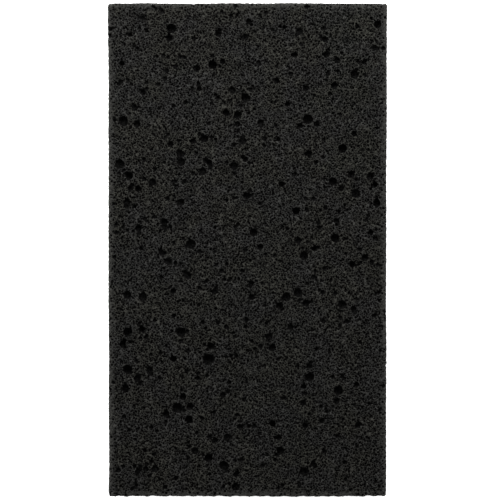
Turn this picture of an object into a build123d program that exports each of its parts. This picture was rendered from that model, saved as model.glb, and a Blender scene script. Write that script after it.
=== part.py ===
from build123d import *

import math
import os
import random

# Chalkboard eraser of the sponge kind: one block of black open-cell foam, sawn from a larger bun.
#
# The foam is a single piece. Its fine cells are too small for a solid model, but gas bubbles that
# grew together while the foam rose left larger voids, and the saw opened those that it met. They are
# cut here as round pits in all six faces. The row frame is +Z up, with the origin at the centre of
# the resting face, +Y along the block and +X across it.

# Driving dimensions, in millimetres
LENGTH = 127.0
WIDTH = 72.0
THICKNESS = 32.0
EDGE_RADIUS = 0.5

# The largest voids of the upper wiping face: x, y and radius
LARGEST_VOIDS = (
    (-19.5, 57.0, 1.2), (33.5, 58.0, 1.0), (-9.0, 47.5, 1.3), (27.5, 45.0, 1.1),
    (-0.5, 39.0, 1.1), (-2.5, 34.5, 1.0), (-32.0, 33.0, 1.2), (15.5, 33.5, 1.3),
    (-11.0, 28.5, 1.0), (24.5, 26.0, 1.2), (-33.0, 22.0, 1.2), (-17.0, 22.5, 1.0),
    (-3.5, 21.5, 1.0), (-30.5, 19.0, 1.1), (22.0, 17.5, 1.1), (28.0, 14.5, 1.1),
    (33.5, 12.0, 1.1), (12.5, 10.0, 1.1), (1.5, 4.5, 1.0), (22.5, 3.0, 1.1),
    (-14.5, 1.5, 1.2), (14.5, -1.5, 1.1), (-31.0, -11.5, 1.0), (-27.0, -12.0, 1.1),
    (10.0, -12.0, 1.1), (13.0, -11.0, 1.1), (24.5, -14.0, 1.1), (-31.0, -21.0, 1.2),
    (-17.0, -21.0, 1.2), (-9.5, -24.5, 1.0), (-10.0, -28.0, 1.4), (-31.0, -30.5, 1.2),
    (16.0, -32.5, 1.1), (-31.5, -35.5, 1.0), (23.5, -36.0, 1.2), (-18.0, -40.5, 1.3),
    (-15.0, -43.5, 1.2), (6.5, -44.5, 1.0), (8.5, -51.5, 1.1), (-10.0, -53.5, 1.1),
    (-6.0, -55.5, 1.2), (14.5, -57.0, 1.1), (-3.0, -61.0, 1.0),
)

# The other voids: the radius of each size, and how many a square decimetre of sawn face opens
LARGE_SIZES = ((1.35, 4), (1.20, 12), (1.05, 31))
MIDDLE_SIZES = ((0.90, 45), (0.75, 60))
DEEPEST_CENTRE = 0.70  # a bubble's centre lies from this many of its radii under the face
SHALLOWEST_CENTRE = 0.10  # up to this many
TWIN_SHARE = 0.25  # the share of voids that are a large bubble and a smaller twin
TWIN_RADIUS = 0.72  # the twin's radius, in radii of the large bubble
TWIN_OFFSET = 1.15  # between their centres, in radii of the large bubble
WEB = 0.35  # foam left between two voids
EDGE_WEB = 0.50  # foam left between a void and the rounded edge
PLACES_TRIED = 400
SEED = 11


def sawn_faces():
    """Each face of the block: the plane at its centre with the outward normal, its width, its height."""
    middle = THICKNESS / 2
    return (
        (Plane((0, 0, THICKNESS), x_dir=(1, 0, 0), z_dir=(0, 0, 1)), WIDTH, LENGTH),
        (Plane((0, 0, 0), x_dir=(1, 0, 0), z_dir=(0, 0, -1)), WIDTH, LENGTH),
        (Plane((WIDTH / 2, 0, middle), x_dir=(0, 1, 0), z_dir=(1, 0, 0)), LENGTH, THICKNESS),
        (Plane((-WIDTH / 2, 0, middle), x_dir=(0, 1, 0), z_dir=(-1, 0, 0)), LENGTH, THICKNESS),
        (Plane((0, LENGTH / 2, middle), x_dir=(1, 0, 0), z_dir=(0, 1, 0)), WIDTH, THICKNESS),
        (Plane((0, -LENGTH / 2, middle), x_dir=(1, 0, 0), z_dir=(0, -1, 0)), WIDTH, THICKNESS),
    )


def with_twin(rng, x, y, radius):
    """One void's bubbles as (x, y, z, radius) on a face, with z outward: one bubble, or a pair."""
    z = -rng.uniform(SHALLOWEST_CENTRE, DEEPEST_CENTRE) * radius
    bubbles = [(x, y, z, radius)]
    if rng.random() < TWIN_SHARE:
        turn = rng.uniform(0, 2 * math.pi)
        offset = radius * TWIN_OFFSET
        bubbles.append((x + offset * math.cos(turn), y + offset * math.sin(turn), z, radius * TWIN_RADIUS))
    return bubbles


def is_clear(bubbles, taken):
    """Whether a web of foam is left between these bubbles and every one already placed on the face."""
    return all(
        math.dist(bubble[:3], other[:3]) > bubble[3] + other[3] + WEB
        for bubble in bubbles
        for other in taken
    )


def add_voids(rng, voids, width, height, sizes):
    """Adds voids of these sizes at random places on a face, clear of those that it has."""
    for radius, per_square_decimetre in sizes:
        reach = EDGE_RADIUS + EDGE_WEB + radius * (1 + TWIN_OFFSET)
        for _ in range(round(per_square_decimetre * width * height / 1e4)):
            for _ in range(PLACES_TRIED):
                x = rng.uniform(reach - width / 2, width / 2 - reach)
                y = rng.uniform(reach - height / 2, height / 2 - reach)
                void = with_twin(rng, x, y, radius)
                if is_clear(void, [bubble for placed in voids for bubble in placed]):
                    voids.append(void)
                    break


def upper_face_voids(rng):
    """The voids of the upper wiping face: its largest at their places, the others at random."""
    voids = []
    for x, y, radius in LARGEST_VOIDS:
        voids.append([(x, y, -rng.uniform(SHALLOWEST_CENTRE, DEEPEST_CENTRE) * radius, radius)])
    add_voids(rng, voids, WIDTH, LENGTH, MIDDLE_SIZES)
    return voids


def other_face_voids(rng, width, height):
    """All the voids that open in one of the other faces, the largest placed first."""
    voids = []
    add_voids(rng, voids, width, height, LARGE_SIZES + MIDDLE_SIZES)
    return voids


def open_bubbles(plane, bubbles):
    """Cuts a face's bubbles from the part being built, each with its poles along the face's normal."""
    for radius in sorted({bubble[3] for bubble in bubbles}):
        places = [plane.location * Location(bubble[:3]) for bubble in bubbles if bubble[3] == radius]
        with Locations(*places):
            Sphere(radius, mode=Mode.SUBTRACT)


rng = random.Random(SEED)
with BuildPart() as foam_block:
    Box(WIDTH, LENGTH, THICKNESS, align=(Align.CENTER, Align.CENTER, Align.MIN))
    fillet(foam_block.edges(), EDGE_RADIUS)
    for plane, width, height in sawn_faces():
        is_upper = plane.z_dir.Z > 0.5
        voids = upper_face_voids(rng) if is_upper else other_face_voids(rng, width, height)
        open_bubbles(plane, [void[0] for void in voids])
        open_bubbles(plane, [void[1] for void in voids if len(void) > 1])
        print(len(voids), "voids open in the face whose normal is", tuple(plane.z_dir))

foam_block.part.label = "foam_block"
os.makedirs("parts", exist_ok=True)
export_step(foam_block.part, "parts/foam_block.step")
print("foam_block", round(foam_block.part.volume), "mm3, valid:", foam_block.part.is_valid)
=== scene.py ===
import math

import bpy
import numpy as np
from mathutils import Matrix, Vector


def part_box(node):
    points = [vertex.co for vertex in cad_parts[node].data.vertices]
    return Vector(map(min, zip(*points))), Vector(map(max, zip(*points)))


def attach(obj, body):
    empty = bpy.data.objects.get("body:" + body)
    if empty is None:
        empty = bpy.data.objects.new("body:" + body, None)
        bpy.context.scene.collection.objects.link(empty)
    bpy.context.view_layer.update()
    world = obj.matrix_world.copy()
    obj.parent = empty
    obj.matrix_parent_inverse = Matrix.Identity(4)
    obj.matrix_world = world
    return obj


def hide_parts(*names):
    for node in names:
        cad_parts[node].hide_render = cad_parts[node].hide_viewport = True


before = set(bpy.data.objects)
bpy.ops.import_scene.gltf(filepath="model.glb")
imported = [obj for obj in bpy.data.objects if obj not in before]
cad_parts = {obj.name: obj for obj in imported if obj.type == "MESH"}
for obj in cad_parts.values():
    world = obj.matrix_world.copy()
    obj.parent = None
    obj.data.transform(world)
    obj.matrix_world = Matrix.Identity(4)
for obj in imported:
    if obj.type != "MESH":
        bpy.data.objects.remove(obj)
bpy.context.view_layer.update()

# A sponge chalkboard eraser: one block of black foam. The CAD solid has the block and its larger
# voids. Here the whole block becomes one closed mesh in which each foam cell that the saw opened is
# a pit of its own: cells in the faces, the edges and the walls of the larger voids.
# The foam's shape is worked out in millimetres on a voxel grid, and turned into metres as a mesh.

import openvdb as vdb
from mathutils import Euler, Vector

MM = 0.001  # in metres, which the scene is in
NODE = "foam_block"
SEED = 7

# The grid
VOXEL = 0.22
MARGIN = 4  # voxels left round the block
BAND = 6  # half width of the CAD level set, in voxels
FAR, TINY = 9.0, 1e-6  # more than any distance between neighbours, and less than any that counts

# The foam's fine cells, one layer of them opened by the saw
CELL_PITCH = 0.74
CELL_JITTER = 0.38  # how far a cell's centre leaves its place in the lattice, in pitches
CELL_RADII = (0.17, 0.37)
CELL_DEPTHS = (-0.06, 0.28)  # how far its centre lies under the surface
CELL_STRETCH = 1.5  # how much deeper than wide it is
CELL_WALL = 0.16
LATTICE_TURN = (0.41, 0.73, 1.19)  # turns the lattice, in radians, so that no face shows its rows

# Bubbles of a middle size, between the fine cells and the larger voids of the CAD solid
SQUARE_CM = 100.0
BUBBLES_PER_SQUARE_CM = 5.8
BUBBLE_RADII = (0.30, 0.56)
BUBBLE_DEPTHS = (0.0, 0.5)  # how far its centre lies under the surface, in radii

# The cut faces
EDGE_RADIUS = 0.5
EDGE_HIGHLIGHT_REACH = 2.0  # how far the painted highlight along the edges reaches from an edge
EDGE_SAG, EDGE_SAG_REACH = 0.10, 1.0  # how far a face sinks towards its edges, and over what distance
SAW_DEPTH = 0.14
SAW_WAVES = (61.0, 37.0, 23.0, 11.0)
SAW_REACH = 0.5  # where a face's waves have faded out, as a share of the way from the middle to it
TORN_DEPTH = 0.16  # the -Y end was torn along its cut more than the others
TORN_WAVES = (5.3, 3.7, 2.9, 2.1)
TAPER = 0.007  # how much narrower the -Y end is

# The finished mesh
FACES_KEPT = 0.45  # the share of faces left after those that its shape doesn't need are merged
MAP_NAME = "OFBake"  # the name of the map that the mesh is laid out on
MAP_GAP = 1.0  # between two faces on the map
UNDERCUT_SCALE = 0.3  # undercut walls go on the map apart, at this scale

# The foam's look: struts, and the dark windows between them, which are painted shade of the open cells,
# with painted shade in the pits and a painted highlight along the edges. The colours are linear.
STRUT_CELLS = 0.60 * MM
STRUT_BREAKS = 0.80 * MM
TINT_PATCHES = 6.0 * MM
GRAIN = 0.40 * MM
BUMP = 0.12 * MM
# Painted shade: the windows' near-black colour stands in for the shade inside the open cells
FACE_WINDOW_SHADE, FACE_STRUT = (0.0012, 0.0012, 0.0011, 1), (0.0300, 0.0300, 0.0278, 1)
# Painted shade: the pits' colours are darker than the face's, for the shade in the pits
PIT_SHADE_WINDOW, PIT_SHADE_STRUT = (0.0008, 0.0008, 0.0008, 1), (0.0065, 0.0065, 0.0061, 1)
# Painted highlight: a lighter colour along the edges, for the light that the rounded edges catch
EDGE_HIGHLIGHT_COLOR, EDGE_HIGHLIGHT_SHARE = (0.038, 0.038, 0.0355, 1), 0.6
COOL_TINT, WARM_TINT = (0.97, 0.975, 1.0, 1), (1.03, 1.025, 0.94, 1)
PIT_SHADE_DEPTHS = (0.04, 0.38)  # a pit's wall turns from the face's colour to the pit's painted shade over these depths, in mm

# The studio, in metres: each soft light's name, place, width and height, and its power in watts
LIGHTS = (
    ("key", (0.0, 0.22, 0.26), (0.30, 0.12), 1.5),
    ("left", (-0.30, 0.02, 0.06), (0.25, 0.08), 0.92),
    ("top_rim", (0.0, 0.34, 0.07), (0.30, 0.08), 1.3),
    ("right", (0.32, 0.0, 0.06), (0.25, 0.08), 0.17),
    ("bottom", (0.0, -0.36, 0.08), (0.30, 0.08), 0.12),
)
WORLD_LIGHT, WORLD_SEEN = 0.6, 1.0  # how bright the world is as a light, and as a background
FLOOR_HALF = 3.0
FLOOR_GLOW = 0.6
LENS, SENSOR = 100.0, 36.0
LENGTH_IN_VIEW = 0.9935  # the share of the picture's height that the block's length takes up
CAMERA_OFFSET = (0.00065, 0.00002)  # from over the block's middle


def smooth_step(low, high, value):
    share = np.clip((value - low) / (high - low), 0, 1)
    return share * share * (3 - 2 * share)


class Grid:
    """A dense voxel grid round the block, in millimetres."""

    def __init__(self, low, high):
        self.low_index = np.floor(low / VOXEL).astype(int) - MARGIN
        self.shape = tuple(np.ceil(high / VOXEL).astype(int) + MARGIN - self.low_index + 1)

    def places(self, flat):
        """Where the voxels of these flat indices are."""
        index = np.stack(np.unravel_index(flat, self.shape), -1)
        return ((index + self.low_index) * VOXEL).astype(np.float32)

    def sample(self, field, places):
        """The field's value in the voxel nearest to each place."""
        index = np.rint(places / VOXEL).astype(int) - self.low_index
        inside = ((index >= 0) & (index < self.shape)).all(1)
        values = np.full(len(places), BAND * VOXEL, np.float32)
        values[inside] = field[tuple(index[inside].T)]
        return values


def cad_field(grid, mesh):
    """Signed distance to the CAD solid's surface, negative in the foam."""
    mesh.calc_loop_triangles()
    points = np.empty(len(mesh.vertices) * 3, np.float32)
    mesh.vertices.foreach_get("co", points)
    corners = np.empty(len(mesh.loop_triangles) * 3, np.int32)
    mesh.loop_triangles.foreach_get("vertices", corners)
    level_set = vdb.FloatGrid.createLevelSetFromPolygons(
        points.reshape(-1, 3) / MM,
        triangles=corners.reshape(-1, 3).astype(np.uint32),
        transform=vdb.createLinearTransform(voxelSize=VOXEL),
        halfWidth=BAND,
    )
    field = np.empty(grid.shape, np.float32)
    level_set.copyToArray(field, ijk=tuple(int(i) for i in grid.low_index))
    return field


def slope(grid, field, places):
    """The direction out of the foam at each place."""
    normal = np.stack(
        [
            grid.sample(field, places + step) - grid.sample(field, places - step)
            for step in np.eye(3, dtype=np.float32) * VOXEL
        ],
        -1,
    )
    return normal / np.maximum(np.linalg.norm(normal, axis=1, keepdims=True), TINY)


def cell_sites(grid, field, rng):
    """Centres and outward directions for one layer of cells just under the surface."""
    middle = (np.array(grid.shape) / 2 + grid.low_index) * VOXEL
    reach = int(np.linalg.norm(grid.shape) * VOXEL / 2 / CELL_PITCH) + 1
    steps = np.arange(-reach, reach + 1, dtype=np.float32) * CELL_PITCH
    lattice = np.stack(np.meshgrid(steps, steps, steps, indexing="ij"), -1).reshape(-1, 3)
    sites = lattice @ np.array(Euler(LATTICE_TURN).to_matrix(), np.float32).T + middle
    inside = (np.abs(sites - middle) < np.array(grid.shape) * VOXEL / 2).all(1)
    sites = sites[inside].astype(np.float32)
    sites = sites[np.abs(grid.sample(field, sites)) < CELL_PITCH / 2]
    sites += (rng.uniform(-CELL_JITTER, CELL_JITTER, sites.shape) * CELL_PITCH).astype(np.float32)
    outward = slope(grid, field, sites)
    height = grid.sample(field, sites) + rng.uniform(*CELL_DEPTHS, len(sites))
    return sites - outward * height[:, None], outward


def carve_cells(grid, field, rng):
    """Opens the layer of fine cells, each a rounded pit with walls between it and its neighbours."""
    sites, outward = cell_sites(grid, field, rng)
    radii = rng.uniform(*CELL_RADII, len(sites))
    reach = int(math.ceil(CELL_RADII[1] * 2 / VOXEL))
    base = np.rint(sites / VOXEL).astype(int) - grid.low_index
    nearest = np.full(field.size, FAR, np.float32)
    second = nearest.copy()
    for ring in ("nearest", "second"):
        for step in np.ndindex(*(2 * reach + 1,) * 3):
            index = base + np.array(step) - reach
            inside = ((index >= 0) & (index < grid.shape)).all(1)
            flat = np.ravel_multi_index(tuple(index[inside].T), grid.shape)
            gap = (index[inside] + grid.low_index) * VOXEL - sites[inside]
            along = np.einsum("ij,ij->i", gap, outward[inside])
            apart = np.einsum("ij,ij->i", gap, gap) - (1 - CELL_STRETCH**-2) * along**2
            apart = (np.sqrt(np.maximum(apart, 0)) - radii[inside]).astype(np.float32)
            if ring == "nearest":
                np.minimum.at(nearest, flat, apart)
            else:
                other = apart > nearest[flat] + TINY
                np.minimum.at(second, flat[other], apart[other])
    air = np.minimum(-nearest, (second - nearest - CELL_WALL) / 2)
    np.maximum(field.ravel(), air, out=field.ravel())


def carve_bubbles(grid, field, rng):
    """Opens the bubbles of a middle size at random places on the surface."""
    on_surface = np.flatnonzero((np.abs(field) < VOXEL / 2).ravel())
    area = len(on_surface) * VOXEL**2
    count = int(area / SQUARE_CM * BUBBLES_PER_SQUARE_CM)
    centres = grid.places(rng.choice(on_surface, count, replace=False))
    radii = rng.uniform(*BUBBLE_RADII, count)
    depths = radii * rng.uniform(*BUBBLE_DEPTHS, count)
    centres = centres - slope(grid, field, centres) * depths[:, None]
    reach = int(math.ceil(BUBBLE_RADII[1] / VOXEL)) + 1
    base = np.rint(centres / VOXEL).astype(int) - grid.low_index
    flat_field = field.ravel()
    for step in np.ndindex(*(2 * reach + 1,) * 3):
        index = base + np.array(step) - reach
        inside = ((index >= 0) & (index < grid.shape)).all(1)
        places = (index[inside] + grid.low_index) * VOXEL
        air = radii[inside] - np.linalg.norm(places - centres[inside], axis=1)
        flat = np.ravel_multi_index(tuple(index[inside].T), grid.shape)
        np.maximum.at(flat_field, flat, air.astype(np.float32))


def largest_shell(points, quads):
    """Keeps the one shell that bounds the block, without sealed cells or loose crumbs."""
    label = np.arange(len(points))
    edges = np.concatenate([quads[:, [0, 1]], quads[:, [1, 2]], quads[:, [2, 3]]])
    while True:
        low = np.minimum(label[edges[:, 0]], label[edges[:, 1]])
        new = label.copy()
        np.minimum.at(new, edges[:, 0], low)
        np.minimum.at(new, edges[:, 1], low)
        new = new[new]
        new = new[new]
        if np.array_equal(new, label):
            break
        label = new
    names, sizes = np.unique(label, return_counts=True)
    keep = label == names[np.argmax(sizes)]
    number = np.cumsum(keep) - 1
    return points[keep], number[quads[keep[quads[:, 0]]]]


def make_mesh(name, points, quads):
    mesh = bpy.data.meshes.new(name)
    mesh.vertices.add(len(points))
    mesh.vertices.foreach_set("co", (points * MM).astype(np.float32).ravel())
    mesh.loops.add(quads.size)
    mesh.loops.foreach_set("vertex_index", quads.astype(np.int32).ravel())
    mesh.polygons.add(len(quads))
    mesh.polygons.foreach_set("loop_start", np.arange(0, quads.size, 4, dtype=np.int32))
    mesh.update(calc_edges=True)
    return mesh


def thin_out(mesh):
    """Merges the faces that the mesh's shape doesn't need."""
    carrier = bpy.data.objects.new(mesh.name, mesh)
    bpy.context.scene.collection.objects.link(carrier)
    carrier.modifiers.new("thin", "DECIMATE").ratio = FACES_KEPT
    view = bpy.context.evaluated_depsgraph_get()
    thinned = bpy.data.meshes.new_from_object(carrier.evaluated_get(view), depsgraph=view)
    bpy.data.objects.remove(carrier)
    bpy.data.meshes.remove(mesh)
    return thinned


def read(collection, name, width, kind=np.float32):
    """An attribute of every item of a mesh collection, as an array."""
    values = np.empty(len(collection) * width, kind)
    collection.foreach_get(name, values)
    return values.reshape(-1, width) if width > 1 else values


def keep_within(mesh, low, high):
    """Brings back the few vertices that left the block's box when faces were merged."""
    places = np.clip(read(mesh.vertices, "co", 3), low * MM, high * MM)
    mesh.vertices.foreach_set("co", places.astype(np.float32).ravel())
    mesh.update()


def lay_out(mesh, low, high):
    """Gives the mesh a map: the block's six faces, each seen straight on, and undercut walls apart."""
    width, length, thickness = high - low
    second, third = width + MAP_GAP, 2 * (width + MAP_GAP)
    upper = length + MAP_GAP
    # For the faces at low x, y, z and high x, y, z: the axes that run along and up the map
    across = np.array([2, 0, 0] * 2)
    up = np.array([1, 2, 1] * 2)
    corner = np.array([
        (third, 0), (0, upper), (0, 0), (third + thickness + MAP_GAP, 0), (second, upper), (second, 0)
    ])
    sheet = third + 2 * thickness + MAP_GAP
    centre = read(mesh.polygons, "center", 3) / MM
    normal = read(mesh.polygons, "normal", 3)
    face = np.argmin(np.concatenate([centre - low, high - centre], axis=1), axis=1)
    outward = normal[np.arange(len(face)), face % 3] * np.where(face < 3, -1, 1)
    turns = read(mesh.polygons, "loop_total", 1, np.int32)
    face, undercut = np.repeat(face, turns), np.repeat(outward < 0, turns)
    place = (read(mesh.vertices, "co", 3) / MM - low)[read(mesh.loops, "vertex_index", 1, np.int32)]
    rows = np.arange(len(face))
    spot = np.stack([place[rows, across[face]], place[rows, up[face]]], -1) + corner[face]
    spot[undercut] = spot[undercut] * UNDERCUT_SCALE + (0, upper + thickness + MAP_GAP)
    uv = mesh.uv_layers.new(name=MAP_NAME)
    uv.data.foreach_set("uv", (spot / sheet).astype(np.float32).ravel())


def block_depth(points, low, high):
    """How far each point lies inside the plain block with its rounded edges, in millimetres."""
    middle, half = (low + high) / 2, (high - low) / 2
    past = np.abs(points - middle) - (half - EDGE_RADIUS)
    outside = np.linalg.norm(np.maximum(past, 0), axis=1)
    return EDGE_RADIUS - outside - np.minimum(past.max(1), 0)


def edge_nearness(points, low, high):
    """1 on the block's edges, falling to 0 into its faces over the reach of the painted highlight along
    the edges.
    """
    past = np.sort(np.minimum(points - low, high - points), axis=1)
    return 1 - smooth_step(0, EDGE_HIGHLIGHT_REACH, past[:, 1])


def waves(points, along, lengths, rng):
    """A smooth random field from -1 to 1 over the two directions in along."""
    total = np.zeros(len(points))
    for length in lengths:
        turn, phase = rng.uniform(0, 2 * math.pi, 2)
        course = points[:, along[0]] * math.cos(turn) + points[:, along[1]] * math.sin(turn)
        total += np.sin(course * 2 * math.pi / length + phase)
    return total / len(lengths)


def saw(points, low, high, rng):
    """Moves each face as an uneven cut does: slow waves, a slight taper, and edges that give way."""
    middle, half = (low + high) / 2, (high - low) / 2
    place = (points - middle) / half
    moved = points.copy()
    for axis in range(3):
        others = [other for other in range(3) if other != axis]
        for side in (-1, 1):
            if axis == 2 and side == -1:
                continue  # the block rests on this face
            share = smooth_step(SAW_REACH, 1, place[:, axis] * side)
            course = waves(points, others, SAW_WAVES, rng) - 1
            if axis == 1 and side == -1:
                course += (waves(points, others, TORN_WAVES, rng) - 1) * TORN_DEPTH / SAW_DEPTH
            inset = (half - np.abs(points - middle))[:, others].min(1)
            sag = EDGE_SAG * np.exp(-np.maximum(inset, 0) / EDGE_SAG_REACH)
            moved[:, axis] += side * share * (course * SAW_DEPTH - sag)
    taper = 1 - TAPER * (0.5 - place[:, 1] / 2)
    moved[:, 0] = middle[0] + (moved[:, 0] - middle[0]) * taper
    return moved


def foam_mesh():
    rng = np.random.default_rng(SEED)
    low, high = (np.array(corner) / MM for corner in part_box(NODE))
    grid = Grid(low, high)
    field = cad_field(grid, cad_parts[NODE].data)
    carve_bubbles(grid, field, rng)
    carve_cells(grid, field, rng)
    volume = vdb.FloatGrid(BAND * VOXEL)
    volume.copyFromArray(field)
    points, quads = volume.convertToQuads()
    points, quads = largest_shell(points, quads.astype(np.int64))
    points = (points + grid.low_index) * VOXEL
    mesh = make_mesh(NODE, saw(points, low, high, rng), quads)
    for name, values in (
        ("depth", block_depth(points, low, high)),
        ("edge", edge_nearness(points, low, high)),
    ):
        mesh.attributes.new(name, "FLOAT", "POINT").data.foreach_set("value", values.astype(np.float32))
    mesh = thin_out(mesh)
    keep_within(mesh, low, high)
    lay_out(mesh, low, high)
    return mesh


class Nodes:
    """Short forms for building a material's node tree."""

    def __init__(self, material):
        material.use_nodes = True
        self.tree = material.node_tree
        self.shader = self.tree.nodes["Principled BSDF"]

    def plug(self, value, socket):
        if isinstance(value, bpy.types.NodeSocket):
            self.tree.links.new(value, socket)
        else:
            socket.default_value = value

    def attribute(self, name):
        node = self.tree.nodes.new("ShaderNodeAttribute")
        node.attribute_name = name
        return node.outputs["Fac"]

    def place(self):
        return self.tree.nodes.new("ShaderNodeTexCoord").outputs["Object"]

    def noise(self, size, detail=2.0, roughness=0.5):
        """Noise with features of about that size in metres."""
        node = self.tree.nodes.new("ShaderNodeTexNoise")
        self.plug(self.place(), node.inputs["Vector"])
        node.inputs["Scale"].default_value = 1 / size
        node.inputs["Detail"].default_value = detail
        node.inputs["Roughness"].default_value = roughness
        return node.outputs["Fac"]

    def walls(self, size):
        """How far the place is from the nearest wall of a random network of cells of that size."""
        node = self.tree.nodes.new("ShaderNodeTexVoronoi")
        node.feature = "DISTANCE_TO_EDGE"
        self.plug(self.place(), node.inputs["Vector"])
        node.inputs["Scale"].default_value = 1 / size
        return node.outputs["Distance"]

    def ramp(self, value, low, high, to_low=0.0, to_high=1.0):
        node = self.tree.nodes.new("ShaderNodeMapRange")
        node.interpolation_type = "SMOOTHSTEP"
        self.plug(value, node.inputs["Value"])
        for name, number in (
            ("From Min", low), ("From Max", high), ("To Min", to_low), ("To Max", to_high)
        ):
            node.inputs[name].default_value = number
        return node.outputs["Result"]

    def math(self, operation, a, b):
        node = self.tree.nodes.new("ShaderNodeMath")
        node.operation = operation
        self.plug(a, node.inputs[0])
        self.plug(b, node.inputs[1])
        return node.outputs["Value"]

    def mix(self, share, a, b, blend="MIX"):
        node = self.tree.nodes.new("ShaderNodeMix")
        node.data_type = "RGBA"
        node.blend_type = blend
        self.plug(share, node.inputs["Factor"])
        self.plug(a, node.inputs["A"])
        self.plug(b, node.inputs["B"])
        return node.outputs["Result"]

    def bump(self, height, distance, strength=1.0):
        node = self.tree.nodes.new("ShaderNodeBump")
        self.plug(height, node.inputs["Height"])
        node.inputs["Distance"].default_value = distance
        node.inputs["Strength"].default_value = strength
        return node.outputs["Normal"]


def foam_material():
    material = bpy.data.materials.new("charcoal_foam")
    make = Nodes(material)
    make.shader.inputs["Roughness"].default_value = 0.8
    make.shader.inputs["Specular IOR Level"].default_value = 0.03
    depth, edge = make.attribute("depth"), make.attribute("edge")
    # The finest cells: a network of struts, lighter or darker by how the saw left them
    struts = make.ramp(make.walls(STRUT_CELLS), 0.03, 0.17, 1.0, 0.0)
    breaks = make.noise(STRUT_BREAKS, detail=3.0, roughness=0.7)
    struts = make.math("MULTIPLY", struts, make.ramp(breaks, 0.32, 0.62, 0.25, 1.0))
    # The cut face, with its slight tint, and a painted highlight along its edges, where the rounded
    # edges catch the light
    # The windows between the struts are painted shade, near black, for the shade inside the open cells
    face = make.mix(struts, FACE_WINDOW_SHADE, FACE_STRUT)
    patch = make.noise(TINT_PATCHES, detail=3.0)
    face = make.mix(1.0, face, make.mix(make.ramp(patch, 0.35, 0.65), COOL_TINT, WARM_TINT), "MULTIPLY")
    # Painted highlight: lighter along the edges, where the rounded edges catch the light
    face = make.mix(make.math("MULTIPLY", edge, EDGE_HIGHLIGHT_SHARE), face, EDGE_HIGHLIGHT_COLOR)
    # Painted shade: the pits' walls turn from the face's colour to near black with depth below the face
    pit_shade = make.mix(struts, PIT_SHADE_WINDOW, PIT_SHADE_STRUT)
    make.plug(make.mix(make.ramp(depth, *PIT_SHADE_DEPTHS), face, pit_shade), make.shader.inputs["Base Color"])
    grain = make.noise(GRAIN, detail=2.0, roughness=0.6)
    height = make.math("ADD", struts, make.math("MULTIPLY", grain, 0.6))
    make.plug(make.bump(height, BUMP, strength=0.8), make.shader.inputs["Normal"])
    return material


def stage():
    """A pale floor that glows enough to lose its shadows but the faintest."""
    corners = [(x * FLOOR_HALF, y * FLOOR_HALF, 0) for x, y in ((-1, -1), (1, -1), (1, 1), (-1, 1))]
    mesh = bpy.data.meshes.new("floor")
    mesh.from_pydata(corners, [], [(0, 1, 2, 3)])
    floor = bpy.data.objects.new("floor", mesh)
    bpy.context.scene.collection.objects.link(floor)
    material = bpy.data.materials.new("pale_floor")
    material.use_nodes = True
    shader = material.node_tree.nodes["Principled BSDF"]
    shader.inputs["Base Color"].default_value = (0.9, 0.9, 0.9, 1)
    shader.inputs["Emission Color"].default_value = (1, 1, 1, 1)
    shader.inputs["Emission Strength"].default_value = FLOOR_GLOW
    shader.inputs["Roughness"].default_value = 0.9
    floor.data.materials.append(material)


def soft_light(name, place, size, power, target):
    """A rectangular light that faces the target and isn't seen itself."""
    light = bpy.data.lights.new(name, "AREA")
    light.shape = "RECTANGLE"
    light.size, light.size_y = size
    light.energy = power
    lamp = bpy.data.objects.new(name, light)
    lamp.location = place
    lamp.visible_camera = False
    lamp.rotation_euler = (Vector(place) - Vector(target)).to_track_quat("Z", "Y").to_euler()
    bpy.context.scene.collection.objects.link(lamp)


def studio():
    """Soft light from all round, with a background as white as the lit floor."""
    world = bpy.data.worlds.new("studio")
    world.use_nodes = True
    tree = world.node_tree
    seen = tree.nodes.new("ShaderNodeLightPath")
    strength = tree.nodes.new("ShaderNodeMapRange")
    strength.inputs["To Min"].default_value = WORLD_LIGHT
    strength.inputs["To Max"].default_value = WORLD_SEEN
    tree.links.new(seen.outputs["Is Camera Ray"], strength.inputs["Value"])
    tree.links.new(strength.outputs["Result"], tree.nodes["Background"].inputs["Strength"])
    tree.nodes["Background"].inputs["Color"].default_value = (1, 1, 1, 1)
    bpy.context.scene.world = world


def camera(low, high):
    """Looks straight down on the upper face, which all but fills the picture's height."""
    lens = bpy.data.cameras.new("camera")
    lens.type = "PERSP"
    lens.lens = LENS
    lens.sensor_width = SENSOR
    view = bpy.data.objects.new("camera", lens)
    distance = (high[1] - low[1]) / LENGTH_IN_VIEW * LENS / SENSOR
    view.location = (*CAMERA_OFFSET, high[2] + distance)
    bpy.context.scene.collection.objects.link(view)
    bpy.context.scene.camera = view


low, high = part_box(NODE)
foam = bpy.data.objects.new("foam", foam_mesh())
bpy.context.scene.collection.objects.link(foam)
foam.data.materials.append(foam_material())
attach(foam, "root")
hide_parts(NODE)

stage()
camera(low, high)
for name, place, size, power in LIGHTS:
    soft_light(name, place, size, power, target=(0, 0, high[2] / 2))
studio()
bpy.context.scene.view_settings.view_transform = "Standard"
